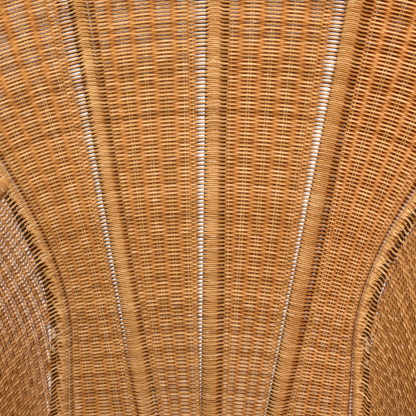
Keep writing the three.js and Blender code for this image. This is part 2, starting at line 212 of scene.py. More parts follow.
class Wire:
    """A shader socket that can stand in a sum: each operator adds one Math node to its tree."""

    def __init__(self, tree, socket=None):
        self.tree = tree
        self.socket = socket

    def node(self, kind, settings=None, sockets=None, output=0):
        """A new node with its settings, then the values or links of its sockets; gives one output."""
        made = self.tree.nodes.new(kind)
        for setting, value in (settings or {}).items():
            setattr(made, setting, value)
        set_sockets(made, sockets or {})
        return Wire(self.tree, made.outputs[output])

    def math(self, operation, first, second):
        """A Math node on two values."""
        return self.node("ShaderNodeMath", {"operation": operation}, {0: first, 1: second})

    def __add__(self, other):
        return self.math("ADD", self, other)

    def __sub__(self, other):
        return self.math("SUBTRACT", self, other)

    def __mul__(self, other):
        return self.math("MULTIPLY", self, other)

    __radd__ = __add__


def mixed(share, first, second, blend="MIX"):
    """A Mix node on two colours."""
    settings = {"data_type": "RGBA", "blend_type": blend, "clamp_factor": True}
    return share.node("ShaderNodeMix", settings, {0: share, 6: first, 7: second}, output=2)


def new_finish(name):
    """A material with its shader, and a wire to start sums from."""
    finish = bpy.data.materials.new(name)
    finish.use_nodes = True
    return finish, finish.node_tree.nodes["Principled BSDF"], Wire(finish.node_tree)


def set_sockets(node, values):
    """Values set on, or wires linked to, the inputs of a node by their names or numbers."""
    for socket, value in values.items():
        if isinstance(value, Wire):
            value.tree.links.new(value.socket, node.inputs[socket])
        else:
            node.inputs[socket].default_value = value


def rattan_finish(name, dark, middle, pale, roughness):
    """Rattan with its tone by strand, long streaks of grain and pale spots, which are scuffs and also
    painted highlights. Where it is tucked in it is painted darker and its colour deeper, a higher power of
    itself: painted shade, standing in for shade and for light that was reflected before."""
    finish, shader, wire = new_finish(name)
    tone = wire.node("ShaderNodeAttribute", {"attribute_name": "tone"}, output=2)
    painted_shade = wire.node("ShaderNodeAttribute", {"attribute_name": "painted_shade"}, output=2)
    strand = wire.node("ShaderNodeUVMap", {"uv_map": "Strand"})
    place = wire.node("ShaderNodeCombineXYZ", None, {
        "X": wire.node("ShaderNodeSeparateXYZ", None, {0: strand}),
        "Y": wire.node("ShaderNodeSeparateXYZ", None, {0: strand}, output=1) * GRAIN_STRETCH,
        "Z": tone * TONE_SPREAD,
    })
    grain = wire.node("ShaderNodeTexNoise", None, {"Vector": place, "Scale": 380.0, "Detail": 3.0})
    patches = wire.node("ShaderNodeTexNoise", None, {"Vector": place, "Scale": 46.0, "Detail": 2.0})
    scuff_and_highlight_noise = wire.node("ShaderNodeTexNoise", None, {"Vector": place, "Scale": 62.0, "Detail": 1.0})
    shade = tone * TONE_WEIGHT + patches * PATCH_WEIGHT + grain * GRAIN_WEIGHT - SHADE_SHIFT
    ramp = wire.node("ShaderNodeValToRGB", None, {0: shade})
    stops = ramp.socket.node.color_ramp.elements
    stops.new(0.5)
    for stop, colour in zip(stops, (dark, middle, pale)):
        stop.color = (*colour, 1)
    # Pale spots: scuffed wear and painted highlights
    scuff_and_highlight_share = wire.node("ShaderNodeMapRange", {"interpolation_type": "SMOOTHSTEP"},
                        {0: scuff_and_highlight_noise, 1: SCUFF_AND_HIGHLIGHT_FROM, 2: SCUFF_AND_HIGHLIGHT_TO, 3: 0.0, 4: SCUFF_AND_HIGHLIGHT_COVER})
    scuffed_and_highlighted = mixed(scuff_and_highlight_share, ramp, SCUFF_AND_HIGHLIGHT_COLOUR)
    # Painted shade: darker and deeper in colour where the strand lies in the shade of its neighbours
    deepened = wire.node("ShaderNodeGamma", None, {"Color": scuffed_and_highlighted, "Gamma": painted_shade * DEEPENING + 1.0})
    in_painted_shade = mixed(painted_shade, deepened, PAINTED_SHADE_COLOUR, "MULTIPLY")
    bump = wire.node("ShaderNodeBump", None, {"Strength": 0.25, "Distance": 0.0004, "Height": grain})
    set_sockets(shader, {
        "Base Color": in_painted_shade,
        "Roughness": roughness + (patches - 0.5) * ROUGHNESS_SPREAD,
        "Normal": bump,
        "Specular IOR Level": 0.06,
    })
    return finish


def fit(piece, finish, slot, *nodes):
    """A finished piece on the chair, in the place of the nodes that it stands for."""
    piece.data.materials.append(finish)
    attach(piece, "root")
    if nodes:
        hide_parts(*nodes)


def bare_pole(name, path, radius):
    """A rattan pole along a path, which swells and darkens at its growth nodes, evenly spaced along it, by
    the exponential of less the square of the distance from the node. Its facing is never along the path."""
    run = lengths_along(path)
    from_node = (run + FIRST_NODE * NODE_SPACING) % NODE_SPACING - NODE_SPACING / 2
    swell = np.exp(-(from_node / NODE_HALF_LENGTH) ** 2)
    facing = LEVEL_FACING if np.ptp(path[:, 2]) < LEVEL_WITHIN else UPRIGHT_FACING
    return round_strands(name, path[None], facing, radius * (1 + NODE_SWELL * swell), POLE_SIDES,
                         POLE_TONE - NODE_DARKENING * swell, steps_in_band=POLE_BAND_STEPS)


def fit_pole(node, path, radius, finish, slot):
    """A pole on the chair, in the place of its node."""
    fit(bare_pole(f"{node}_pole", path, radius), finish, slot, node)


bare_rattan = rattan_finish("bare rattan pole", (0.19, 0.085, 0.026), (0.40, 0.20, 0.07),
                            (0.60, 0.35, 0.15), 0.55)
ring_angles = np.linspace(0, 2 * np.pi, PLAN_STATIONS)
waist_height = SEAT_HEIGHT / 2
waist_inset = BASE_RIB_RADIUS + WAIST_HOOP_RADIUS
waist_share = base_scale(waist_height) - waist_inset / SEAT_HALF_DEPTH
for node, height, scale, radius in (
    ("floor_hoop", FLOOR_HOOP_RADIUS, base_scale(FLOOR_HOOP_RADIUS), FLOOR_HOOP_RADIUS),
    ("base_waist_hoop", waist_height, waist_share, WAIST_HOOP_RADIUS),
):
    ring = at_height(evenly(plan_ring(ring_angles, scale), np.linspace(0, 1, HOOP_STATIONS)), height)
    fit_pole(node, ring, radius, bare_rattan, "rattan_core")

# Base ribs
# Eight bare poles that stand on the floor hoop, draw in at the waist and spread again to the seat hoop.
# Their ends are coped to the hoops and nailed.
ARM_FOOT_X = 0.200
OUTER_RIB_AT_WAIST = 0.213
RIB_STATIONS = 41


def ring_angle_at(x, squareness):
    """Angle at which the plan outline reaches an x: the arc cosine of x's share, to half the squareness."""
    return np.arccos((x / SEAT_HALF_WIDTH) ** (squareness / 2))


rear_corner = ring_angle_at(OUTER_RIB_AT_WAIST, REAR_SQUARENESS)
front_corner = -ring_angle_at(ARM_FOOT_X, FRONT_SQUARENESS)
base_rib_angles = {
    "right": 0.0,
    "rear_right": rear_corner,
    "rear": np.pi / 2,
    "rear_left": np.pi - rear_corner,
    "left": np.pi,
    "front_left": np.pi - front_corner,
    "front": 3 * np.pi / 2,
    "front_right": 2 * np.pi + front_corner,
}
for place, angle in base_rib_angles.items():
    height = np.linspace(FLOOR_HOOP_RADIUS, SEAT_HEIGHT, RIB_STATIONS)
    path = at_height(plan_ring(angle, base_scale(height)), height)
    fit_pole(f"base_rib_{place}", path, BASE_RIB_RADIUS, bare_rattan, "rattan_core")

# Seat hoop
# The main hoop of the chair, which carries the seat, the fan and the arms. The pole is wound from end to
# end with one round strand, turn against turn.
WINDING_RADIUS = 0.0013
ROW_PITCH = 0.00273
SEAT_HOOP_RADIUS = 0.011
WINDING_STEPS = 10
STRAND_SIDES = 5
# Painted shade: a little on the sides of every turn, and round the sides of a pole between two cosines of
# the turning angle
WINDING_SIDE_SHADE = 0.12
TURNS_OF_A_TONE = 9
TURN_VARIATION = 0.07
WINDING_TONES = (0.2, 0.8)
SHADED_COSINE = 0.25
UNSHADED_COSINE = 2 / 3
UPWARD = np.array([0.0, 0.0, 1.0])
rng = np.random.default_rng(11)


def winding(name, spine, facing, pole_radius, angle, shaded=0.0):
    """A strand wound round a spine: at each point the spine plus the wound radius times the cosine of the
    turning angle along facing and the sine of it across. Where shaded is 1 the strand is painted darker,
    evenly between two values of that cosine: painted shade round the sides of the pole."""
    run = unit(np.gradient(spine, axis=0))
    across = unit(np.cross(run, facing))
    front = np.cross(across, run)
    outward = np.cos(angle)[:, None] * front + np.sin(angle)[:, None] * across
    path = spine + (pole_radius + WINDING_RADIUS) * outward
    turn = np.arange(len(spine)) // WINDING_STEPS
    tones = rng.uniform(*WINDING_TONES, turn[-1] // TURNS_OF_A_TONE + 2)
    tone = np.interp(turn / TURNS_OF_A_TONE, np.arange(tones.size), tones)
    tone = tone + rng.normal(0, TURN_VARIATION, turn[-1] + 1)[turn]
    aside = (UNSHADED_COSINE - np.abs(np.cos(angle))) / (UNSHADED_COSINE - SHADED_COSINE)
    painted_shade = shaded * np.clip(aside, 0, 1)
    return round_strands(name, path[None], outward[None], WINDING_RADIUS, STRAND_SIDES, tone,
                         (painted_shade, painted_shade, WINDING_SIDE_SHADE), steps_in_band=WINDING_STEPS)


def wind_evenly(name, points, facing, pole_radius):
    """A winding along a polyline, with a whole turn of the angle in each pitch and fixed steps to a turn."""
    turns = int(lengths_along(points)[-1] / ROW_PITCH)
    spine = evenly(points, np.linspace(0, 1, turns * WINDING_STEPS + 1))
    return winding(name, spine, facing, pole_radius, 2 * np.pi * lengths_along(spine) / ROW_PITCH)


wound_rattan = rattan_finish("wound rattan strand", (0.29, 0.115, 0.028), (0.55, 0.285, 0.098),
                             (0.80, 0.54, 0.28), 0.46)
# The poles under windings are painted near black: painted shade where they show between the turns
shaded_rattan = rattan_finish("pole under its winding in painted shade", (0.012, 0.004, 0.0015), (0.022, 0.008, 0.003),
                              (0.040, 0.016, 0.006), 0.6)
ring = at_height(evenly(plan_ring(ring_angles), np.linspace(0, 1, HOOP_STATIONS)), SEAT_HEIGHT)
fit_pole("seat_hoop", ring, SEAT_HOOP_RADIUS, shaded_rattan, "rattan_pole")
fit(wind_evenly("seat_hoop_winding", ring, UPWARD, SEAT_HOOP_RADIUS), wound_rattan, "rattan_pole")

# Seat bars
# Four straight bare poles across the seat hoop, coped to it and nailed; they carry the woven seat.
for place in ("front", "mid_front", "mid_rear", "rear"):
    low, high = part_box(f"seat_bar_{place}")
    middle = (np.array(low) + np.array(high)) / 2
    path = np.linspace((low.x, middle[1], middle[2]), (high.x, middle[1], middle[2]), RIB_STATIONS)
    fit_pole(f"seat_bar_{place}", path, (high.y - low.y) / 2, bare_rattan, "rattan_core")

# Fan ribs
# Five poles that rise from the back of the seat hoop: the outer pair sweep out in an S, the others lean
# out straight. Each is wound with one strand, between whose turns the rows of the back cross over it.
WAIST_HEIGHT = 0.580
INNER_RIB_AT_WAIST = 0.116
INNER_RIB_FLARE = 0.18
FAN_HALF_WIDTH = 0.505
SHOULDER_HEIGHT = 1.220
FAN_HEIGHT = 1.495
BACK_LEAN = 0.158
FAN_CUP = 0.110
INNER_RIB_RADIUS = 0.0125
OUTER_RIB_RADIUS = 0.008
FRONT_DWELL = 0.6
DWELL_ANGLE = 1.0
SETTLING_STEPS = 30
SPARE_LEVELS = 0.2
FIRST_DROP = 0.017
DROP_RATE = 0.18
DROP_EASE = 0.060


def smooth_step(share):
    """A rise from 0 to 1 that is level at both ends: three squares of the share less two cubes."""
    share = np.clip(share, 0, 1)
    return share ** 2 * (3 - 2 * share)


def rounded(share, squareness):
    """The other coordinate of a superellipse, as a share of its half size."""
    return (1 - share ** squareness) ** (1 / squareness)


def rib_radius(u):
    """Radius of the rib at u: the outer pair are thinner."""
    return OUTER_RIB_RADIUS if abs(u) == 1 else INNER_RIB_RADIUS


def outer_rib_x(z):
    """Half breadth of the fan: from the waist to the shoulder it follows a smooth step."""
    share = smooth_step((z - WAIST_HEIGHT) / (SHOULDER_HEIGHT - WAIST_HEIGHT))
    return OUTER_RIB_AT_WAIST + (FAN_HALF_WIDTH - OUTER_RIB_AT_WAIST) * share


def fan_x(u, z):
    """Sideways place on the fan: an odd cubic in u through the inner rib at 0.5 and the outer rib at 1."""
    inner = INNER_RIB_AT_WAIST + INNER_RIB_FLARE * (z - WAIST_HEIGHT)
    cubic = (outer_rib_x(z) - 2 * inner) * 4 / 3
    return u * (2 * inner - cubic / 4 + cubic * u ** 2)


def fan_point(u, z):
    """The fan's surface: it stands on the seat's plan, leans back and cups forward by u squared times the
    square of the rise."""
    u, z = np.broadcast_arrays(u, z)
    foot_x = np.abs(fan_x(u, SEAT_HEIGHT)) / SEAT_HALF_WIDTH
    foot_y = SEAT_HALF_DEPTH * rounded(foot_x, REAR_SQUARENESS)
    rise = z - SEAT_HEIGHT
    y = SEAT_MIDDLE + foot_y + BACK_LEAN * rise - FAN_CUP * (rise * u) ** 2
    return np.stack([fan_x(u, z), y, z], axis=-1)


def arch_height(x):
    """Top of the fan at an x: half an ellipse from shoulder to shoulder."""
    share = np.minimum(np.abs(x) / FAN_HALF_WIDTH, 1)
    return SHOULDER_HEIGHT + (FAN_HEIGHT - SHOULDER_HEIGHT) * np.sqrt(1 - share ** 2)


def top_of(u):
    """Height at which a line of constant u meets the arch, by repeated substitution."""
    z = np.full(np.shape(u), SHOULDER_HEIGHT)
    for _ in range(SETTLING_STEPS):
        z = arch_height(fan_x(u, z))
    return z


def row_height(u, level):
    """Height of a row at u. A row's level is its height over the waist at the centre rib; it drops from
    there by a square and a fourth power of u, square to the inner ribs, less and less below the waist."""
    above = np.maximum(level, 0)
    settle = np.clip(1 + level / (WAIST_HEIGHT - SEAT_HEIGHT), 0, 1)
    at_inner = settle * INNER_RIB_FLARE * (INNER_RIB_AT_WAIST + INNER_RIB_FLARE * above) / 2
    at_outer = settle * (FIRST_DROP + DROP_RATE * above ** 2 / (above + DROP_EASE))
    fourth = (at_outer - 4 * at_inner) * 4 / 3
    return WAIST_HEIGHT + level - (at_outer - fourth) * u ** 2 - fourth * u ** 4


def row_point(u, level):
    """Point of the fan's surface on a row."""
    return fan_point(u, row_height(u, level))


def facing_of(point, first, second, step=1e-4):
    """Front of a surface: the cross product of its slopes in its two parameters."""
    across = point(first + step, second) - point(first - step, second)
    up = point(first, second + step) - point(first, second - step)
    return unit(np.cross(across, up))


ribs = {"left_outer": -1.0, "left_inner": -0.5, "center": 0.0, "right_inner": 0.5, "right_outer": 1.0}
lowest_level = SEAT_HEIGHT + SEAT_HOOP_RADIUS - WAIST_HEIGHT
for place, u in ribs.items():
    top = SHOULDER_HEIGHT if abs(u) == 1 else top_of(np.array(u)) - OUTER_RIB_RADIUS / 2
    path = fan_point(u, np.linspace(SEAT_HEIGHT, top, 4 * RIB_STATIONS))
    fit_pole(f"fan_rib_{place}", path, rib_radius(u), shaded_rattan, "rattan_pole")

    # The turns pass the front of the rib midway between two crossing rows, which lie two pitches apart, and
    # climb most behind it; the rows that cross in front at one rib cross behind at the next
    levels = np.arange(lowest_level, FAN_HEIGHT - WAIST_HEIGHT + SPARE_LEVELS, 2 * ROW_PITCH / WINDING_STEPS)
    angle = -np.pi * ((levels - lowest_level) / ROW_PITCH - 1 + list(ribs).index(place))
    levels = levels + FRONT_DWELL * ROW_PITCH / np.pi * (np.sin(angle - DWELL_ANGLE) + np.sin(DWELL_ANGLE))
    heights = row_height(u, levels)
    within = (heights > SEAT_HEIGHT) & (heights < top)
    levels, angle = levels[within], angle[within]
    # The rib's winding is painted dark round the sides of the rib, as shade
    wound = winding(f"fan_rib_{place}_winding", row_point(u, levels), facing_of(row_point, u, levels),
                    rib_radius(u), angle, shaded=1.0)
    fit(wound, wound_rattan, "rattan_pole")

# Back panels
# Four bays of dense plain weave between the ribs, whose rows run on from bay to bay over and under the ribs.
# Each has five pairs of stakes from the seat to the rim, a little nearer to the rib on their left, and a
# single stake beside the rib on its right.
STRAND_RADIUS = 0.00182
STAKE_RADIUS = 0.00095
STAKE_APART = 0.0019
# Painted shade on the stakes' front, back and sides
STAKE_SHADE = (0.1, 0.1, 0.1)
STAKE_CLEARANCES = np.array([0.0065, 0.0080])
LEAST_SPACING = 0.045
LIFT = 0.0021
UNEVENNESS = 0.00008
FIRST_STAKE = 0.13
STAKE_PITCH = 0.159
STAKE_COLUMNS = 5
EDGE_STAKE = 0.83
DWELL = 1.5
CLOSING_WIDTH = 0.45
EVEN_LEVEL = 0.165
# Painted shade: on the sides of the rows, where a row crosses a rib, and the power by which it grows with
# depth
SIDE_SHADE = 0.35
RIB_SHADE = 0.12
RIB_SQUEEZE = 0.27
SHADE_POWER = 1.8
CLOSING_GAIN = 4.8 * ROW_PITCH
MOST_CLOSING = 1.8 * ROW_PITCH
SLANT_RIGHT_OF_RIB = 0.75
RIM_COVER = 0.006
LEAST_PART_OF_BAY = 0.03
STAKE_STATIONS = 70
TRIAL_STATIONS = 401
SPAN_STEPS = 4
WRAP_ANGLES = (18, 36, 54)
OVERLAP_ANGLE = 2
ROW_TONES = (0.25, 0.75)
STAKE_TONES = (0.3, 0.8)
THICKNESSES = (0.95, 1.05)
SLIT_SIZES = (0.6, 1.15)

# Left of each inner rib: the share of its radius at which a pair of rows has closed up, and how far they
# close at the even level and at least, in row pitches
RIB_SLITS = {
    "left_inner": (0.45, 0.62, -1.8),
    "center": (0.8, 0.85, 0.0),
    "right_inner": (1.0, 0.85, 0.0),
}

# Painted light by bay, for more contrast in the right-hand bays: how far the painted shade of each bay's
# hollows is scaled, the power by which it darkens with depth, and how much paler its strands are painted
BAY_PAINTED_LIGHT = {
    "left_outer": (0.8, 1.8, -0.07),
    "left_inner": (0.8, 1.8, -0.07),
    "right_inner": (1.05, 1.9, 0.01),
    "right_outer": (2.2, 3.4, 0.17),
}


def closing(gap, rib, stake, closed_from):
    """How far two rows have closed up beside a rib: evenly from none at the nearest stake to all at the
    rib's side, times a smooth step to all at a share of the rib's radius from its middle."""
    near = np.clip((stake - gap) / (stake - rib), 0, 1)
    return near * smooth_step(1 + (gap / rib - closed_from) / CLOSING_WIDTH)


def stand_off(gap, rib, stake, lift):
    """How far a row stands out beside a rib that it crosses: it follows the rib's circle as far as the
    tangent line from behind the nearest stake, and then that line."""
    from_rib = np.hypot(stake, lift)
    contact = np.arccos(np.clip(rib / from_rib, 0, 1)) - np.arctan2(lift, stake)
    circle = np.sqrt(np.clip(rib ** 2 - gap ** 2, 0, None))
    line = (stake - gap) / np.tan(contact) - lift
    return np.where(gap < rib * np.cos(contact), circle, line)


def clear_of_ribs(knots, width, rib_radii):
    """Knots as shares of each width, with the first and last stake moved off where a thick rib would
    cover them."""
    knots = np.broadcast_to(knots, np.shape(width)[:-1] + np.shape(knots)).copy()
    nearest = (np.asarray(rib_radii) + STAKE_CLEARANCES) / width
    knots[..., 1] = np.maximum(knots[..., 1], nearest[..., 0])
    knots[..., -2] = np.clip(1 - nearest[..., 1], knots[..., -3] + LEAST_SPACING, knots[..., -2])
    return knots


def woven_rows(point, levels, knots, rib_radii, lift, closes=(0.0, 0.0), closed_from=1.0, leading=1, low=0.0,
               high=1.0, overlap=0, steps=SPAN_STEPS):
    """Centre lines of the rows of a plain weave between two ribs, with their facings and offsets.

    A row passes the ribs and stakes at its knots on alternate sides, as cosine waves between them, and
    follows a circle round each rib; the next row takes the other sides. Beside a rib the two rows of a
    pair close up by half of closes each, so that clear slits are left between the pairs. The ends run past
    the middle of the ribs by the angle overlap.
    """
    levels = levels[:, None]
    across = point(np.ones_like(levels), levels) - point(np.zeros_like(levels), levels)
    width = np.linalg.norm(across, axis=-1)
    knots = clear_of_ribs(knots, width, rib_radii)
    wrap = np.sin(np.radians([-overlap, *WRAP_ANGLES]))
    left = wrap * rib_radii[0] / width
    right = 1 - wrap[::-1] * rib_radii[1] / width
    marks = np.concatenate([left[:, -1:], knots[:, 1:-1], right[:, :1]], axis=1)
    spans = marks[:, :-1, None] + np.diff(marks, axis=1)[..., None] * np.arange(steps) / steps
    share = np.concatenate([left[:, :-1], spans.reshape(len(levels), -1), right], axis=1)
    share = np.reshape(low, (-1, 1)) + np.reshape(np.subtract(high, low), (-1, 1)) * share

    sides = np.where(np.arange(knots.shape[1]) % 2, -lift, lift)
    ends = np.sign(sides[[0, -1]])
    sides[[0, -1]] = ends * rib_radii
    span = (share[:, :, None] >= knots[:, None, 1:-1]).sum(axis=-1)
    start = np.take_along_axis(knots, span, axis=1)
    part = (share - start) / (np.take_along_axis(knots, span + 1, axis=1) - start)
    part = np.clip(0.5 + (part - 0.5) * DWELL, 0, 1)
    wave = sides[span] + np.diff(sides)[span] * (1 - np.cos(np.pi * part)) / 2
    gaps = (share * width, (1 - share) * width)
    stakes = (knots[:, 1:2] * width, (1 - knots[:, -2:-1]) * width)
    for gap, rib, stake, end in zip(gaps, rib_radii, stakes, ends):
        wave = np.where(gap < stake, end * stand_off(gap, rib, stake, lift), wave)
    parity = leading * np.where(np.arange(len(levels)) % 2, -1, 1)[:, None]
    drawn = (ends[0] * closes[0] * closing(gaps[0], rib_radii[0], stakes[0], 1.0)
             - ends[1] * closes[1] * closing(gaps[1], rib_radii[1], stakes[1], closed_from))
    place = levels + parity * drawn / 2
    front = facing_of(point, share, place)
    offset = parity * wave
    return point(share, place) + offset[..., None] * front, front, offset


def crossing(offset, lift):
    """How far a strand has come out to a rib: from 0 at its lift in the weave to 1 at twice as much."""
    return np.clip(offset / lift - 1, 0, 1)


def tucked(offset, lift, power=SHADE_POWER):
    """Painted shade of a strand's front, back and sides. The first two are a power of its depth, from 0
    where it stands proud by its lift to 1 where it is as far behind, and a little where it crosses a rib."""
    faces = [np.clip(0.5 - 0.5 * out / lift, 0, 1) ** power + RIB_SHADE * crossing(out, lift)
             for out in (offset, -offset)]
    return (*faces, SIDE_SHADE * (1 - crossing(np.abs(offset), lift)))


woven_rattan = rattan_finish("woven rattan strand", (0.29, 0.122, 0.030), (0.645, 0.384, 0.154),
                             (0.91, 0.68, 0.41), 0.44)
stake_knots = np.array([0, *(FIRST_STAKE + STAKE_PITCH * np.arange(STAKE_COLUMNS)), EDGE_STAKE, 1])
row_levels = np.arange(lowest_level, FAN_HEIGHT - WAIST_HEIGHT, ROW_PITCH)
row_levels = row_levels + rng.normal(0, UNEVENNESS, row_levels.size)
row_tones = rng.uniform(*ROW_TONES, row_levels.size)
row_radii = STRAND_RADIUS * rng.uniform(*THICKNESSES, row_levels.size)
slant = CLOSING_GAIN * (row_levels - EVEN_LEVEL)[:, None]
slit_sizes = rng.uniform(*SLIT_SIZES, slant.shape)
closes_right = -SLANT_RIGHT_OF_RIB * slant

# Share of u out to which each row lies inside the rim
trial_u = np.linspace(0, 1, TRIAL_STATIONS)
trial = row_point(trial_u, row_levels[:, None])
inside = trial[..., 2] < arch_height(trial[..., 0]) - RIM_COVER
row_reach = np.where(inside.all(axis=1), 1.0, trial_u[np.argmin(inside, axis=1)])

begins = np.zeros(row_levels.size)
for bay, (from_rib, to_rib, place) in enumerate(zip(ribs, list(ribs)[1:], BAY_PAINTED_LIGHT)):
    start, end = ribs[from_rib], ribs[to_rib]

    def bay_point(share, level, start=start, end=end):
        """Point of the bay by its share of the way from the left rib to the right."""
        return row_point(start + (end - start) * share, level)

    radii = [STRAND_RADIUS + rib_radius(u) for u in (start, end)]
    low = np.clip((-row_reach - start) / (end - start), 0, 1)
    high = np.clip((row_reach - start) / (end - start), 0, 1)
    kept = high - low > LEAST_PART_OF_BAY
    closed_from, closes_left = 1.0, 0.0
    if to_rib in RIB_SLITS:
        closed_from, even, least = RIB_SLITS[to_rib]
        closes_left = slit_sizes * np.clip(even * ROW_PITCH + slant, least * ROW_PITCH, MOST_CLOSING)
    paths, front, offset = woven_rows(bay_point, row_levels, stake_knots, radii, LIFT,
                                      (closes_right, closes_left), closed_from,
                                      leading=1 if bay % 2 == 0 else -1, low=low, high=high,
                                      overlap=OVERLAP_ANGLE)

    # A row is drawn thin where it crosses a rib, and on its way there from the stake on the rib's left
    station = np.arange(offset.shape[1])
    tight = np.maximum(1 - station / len(WRAP_ANGLES), station > station.size // 2)
    radius = row_radii[:, None] * (1 - RIB_SQUEEZE * tight * crossing(np.abs(offset), LIFT))
    # Each bay's painted shade and painted paler tone
    depth, power, painted_lightening = BAY_PAINTED_LIGHT[place]
    shades = [depth * part for part in tucked(offset[kept], LIFT, power)]
    weave = round_strands(f"back_panel_{place}_weave", paths[kept], front[kept], radius[kept], STRAND_SIDES,
                          row_tones[kept, None] + painted_lightening, shades, begins[kept])
    fit(weave, woven_rattan, "wicker_weave", f"back_panel_{place}")
    begins += lengths_along(paths)[:, -1]

    # Every column is a pair of stakes but the last, which is a single stake
    plain = start + (end - start) * stake_knots[1:-1, None]
    heights = SEAT_HEIGHT + (top_of(plain) - SEAT_HEIGHT) * np.linspace(0, 1, STAKE_STATIONS)
    width = (fan_x(end, heights) - fan_x(start, heights))[..., None]
    moved = clear_of_ribs(stake_knots, width, radii)[..., 1:-1]
    columns = start + (end - start) * np.diagonal(moved, axis1=0, axis2=2).T
    columns, heights = (np.repeat(value, 2, axis=0)[:-1] for value in (columns, heights))
    middle = fan_point(columns, heights)
    front = facing_of(fan_point, columns, heights)
    across = unit(np.cross(np.gradient(middle, axis=1), front))
    apart = np.where(np.arange(len(columns)) % 2, 1, -1)[:, None, None] * STAKE_APART
    apart[-1] = 0
    stakes = round_strands(f"back_panel_{place}_stakes", middle + apart * across, front, STAKE_RADIUS,
                           STRAND_SIDES + 1, rng.uniform(*STAKE_TONES, (len(columns), 1)), STAKE_SHADE)
    fit(stakes, woven_rattan, "wicker_weave")

# Edge wraps
# Where a row reaches an outer rib it turns round the outside of the pole and comes back behind it as the
# next row, so the edge of the fan is a line of short wraps, two pitches apart.
WRAP_STEPS = 9
SIDES = {"left": -1.0, "right": 1.0}
reaching = np.flatnonzero(row_reach == 1)
fronts = reaching[reaching % 2 == 0]
for side, u in SIDES.items():
    turn = np.linspace(0, np.pi, WRAP_STEPS)
    level = row_levels[fronts, None] + u * ROW_PITCH * turn / np.pi
    spine = row_point(u, level)
    front = facing_of(row_point, u, level)
    up = unit(row_point(u, level + ROW_PITCH) - spine)
    outward = u * np.cross(up, front)
    out = OUTER_RIB_RADIUS + STRAND_RADIUS
    round_rib = np.cos(turn)[:, None] * front + np.sin(turn)[:, None] * outward
    wraps = round_strands(f"edge_wraps_{side}", spine + out * round_rib, round_rib,
                          row_radii[fronts, None] * (1 - RIB_SQUEEZE), STRAND_SIDES, row_tones[fronts, None],
                          (0, 0, SIDE_SHADE))
    fit(wraps, woven_rattan, "wicker_weave")

# Fan rim
# One pole bent to the arch of the fan, its ends spliced to the outer ribs at the shoulders. It is wound
# from end to end, turn against turn, over the cut ends of the stakes and rows.
RIM_STATIONS = 240
RIM_GAP = 0.0003

rim_x = FAN_HALF_WIDTH * np.cos(np.pi * np.linspace(0, 1, RIM_STATIONS))
rim_z = arch_height(rim_x) + RIM_GAP
rim_u = rim_x / FAN_HALF_WIDTH
for _ in range(SETTLING_STEPS):
    rim_u = rim_u * rim_x / fan_x(rim_u, rim_z)
rim = fan_point(rim_u, rim_z)
fit_pole("fan_rim", rim, OUTER_RIB_RADIUS, shaded_rattan, "rattan_pole")
fit(wind_evenly("fan_rim_winding", rim, np.array([0.0, -1.0, 0.0]), OUTER_RIB_RADIUS), wound_rattan,
    "rattan_pole")

# Arm rails
# One pole to each side, coped to the outer rib: it runs forward as the arm rest, bends over a knuckle and
# drops to the front corner of the seat hoop. It is wound like the rim.
ARM_HEIGHT_AT_BACK = 0.800
ARM_KNUCKLE_X = 0.292
ARM_KNUCKLE_Y = -0.150
ARM_KNUCKLE_HEIGHT = 0.655
ARM_RAIL_RADIUS = 0.008
ARM_BULGE = 0.022
ARM_SWEEP = 0.110
KNUCKLE_EASE = 0.5


def bezier(corners, share):
    """Cubic Bezier curve: its four corners weighted by the terms of the third power of share plus rest."""
    share = np.asarray(share)[..., None]
    rest = 1 - share
    return (corners[0] * rest ** 3 + corners[1] * 3 * share * rest ** 2
            + corners[2] * 3 * share ** 2 * rest + corners[3] * share ** 3)


arm_rests = {}
arm_drops = {}
for side, mirror in SIDES.items():
    fall = (ARM_HEIGHT_AT_BACK - ARM_KNUCKLE_HEIGHT) / 4
    away = np.array([mirror * ARM_BULGE, -ARM_SWEEP, -fall])
    joint = fan_point(mirror, ARM_HEIGHT_AT_BACK) + unit(away) * OUTER_RIB_RADIUS / 2
    knuckle = np.array([mirror * ARM_KNUCKLE_X, SEAT_MIDDLE + ARM_KNUCKLE_Y, ARM_KNUCKLE_HEIGHT])
    arrive = knuckle + np.array([mirror * ARM_BULGE / 2, ARM_SWEEP, fall / 2])
    turn = knuckle - KNUCKLE_EASE * (arrive - knuckle)
    foot = at_height(plan_ring(front_corner), SEAT_HEIGHT) * np.array([mirror, 1, 1])
    land = foot + np.array([mirror * ARM_BULGE, -ARM_BULGE, ARM_SWEEP])
    arm_rests[side] = (joint, joint + away, arrive, knuckle)
    arm_drops[side] = (knuckle, turn, land, foot)
    share = np.linspace(0, 1, 2 * RIB_STATIONS)
    rail = np.concatenate([bezier(arm_rests[side], share), bezier(arm_drops[side], share[1:])])
    rail = evenly(rail, np.linspace(0, 1, 4 * RIB_STATIONS))
    fit_pole(f"arm_rail_{side}", rail, ARM_RAIL_RADIUS, shaded_rattan, "rattan_pole")
    fit(wind_evenly(f"arm_rail_{side}_winding", rail, np.array([mirror, 0.0, 0.0]), ARM_RAIL_RADIUS),
        wound_rattan, "rattan_pole")

# Wings
# A patch of open weave between outer rib, arm rail and seat hoop on each side. Its rows are pairs of
# strands looped round the rib, which fall towards the front and cross leaning stakes on alternate sides.
WING_ROW_PITCH = 0.0057
WING_ROW_TILT = 0.10
WING_ROW_SPREAD = 0.12
WING_PAIR_APART = 0.0019
WING_STRAND_RADIUS = 0.0014
WING_STAKE_PITCH = 0.0082
WING_STAKE_RADIUS = 0.0013
WING_STAKE_LEAN = 0.22
WING_LIFT = 0.0019
FINGER_LENGTH = 0.023
EDGE_ROD_PLACE = 0.0135
EDGE_ROD_RADIUS = 0.0036
EDGE_ROD_ENDS = (0.02, 0.97)
WING_STATIONS = 136
ARC_STATIONS = 201
LEAST_TRIALS = 20
LEAST_STAKE = 0.05
OPEN_ROW_TONES = (0.1, 0.9)
DARK_STAKE_TONES = (0.1, 0.6)

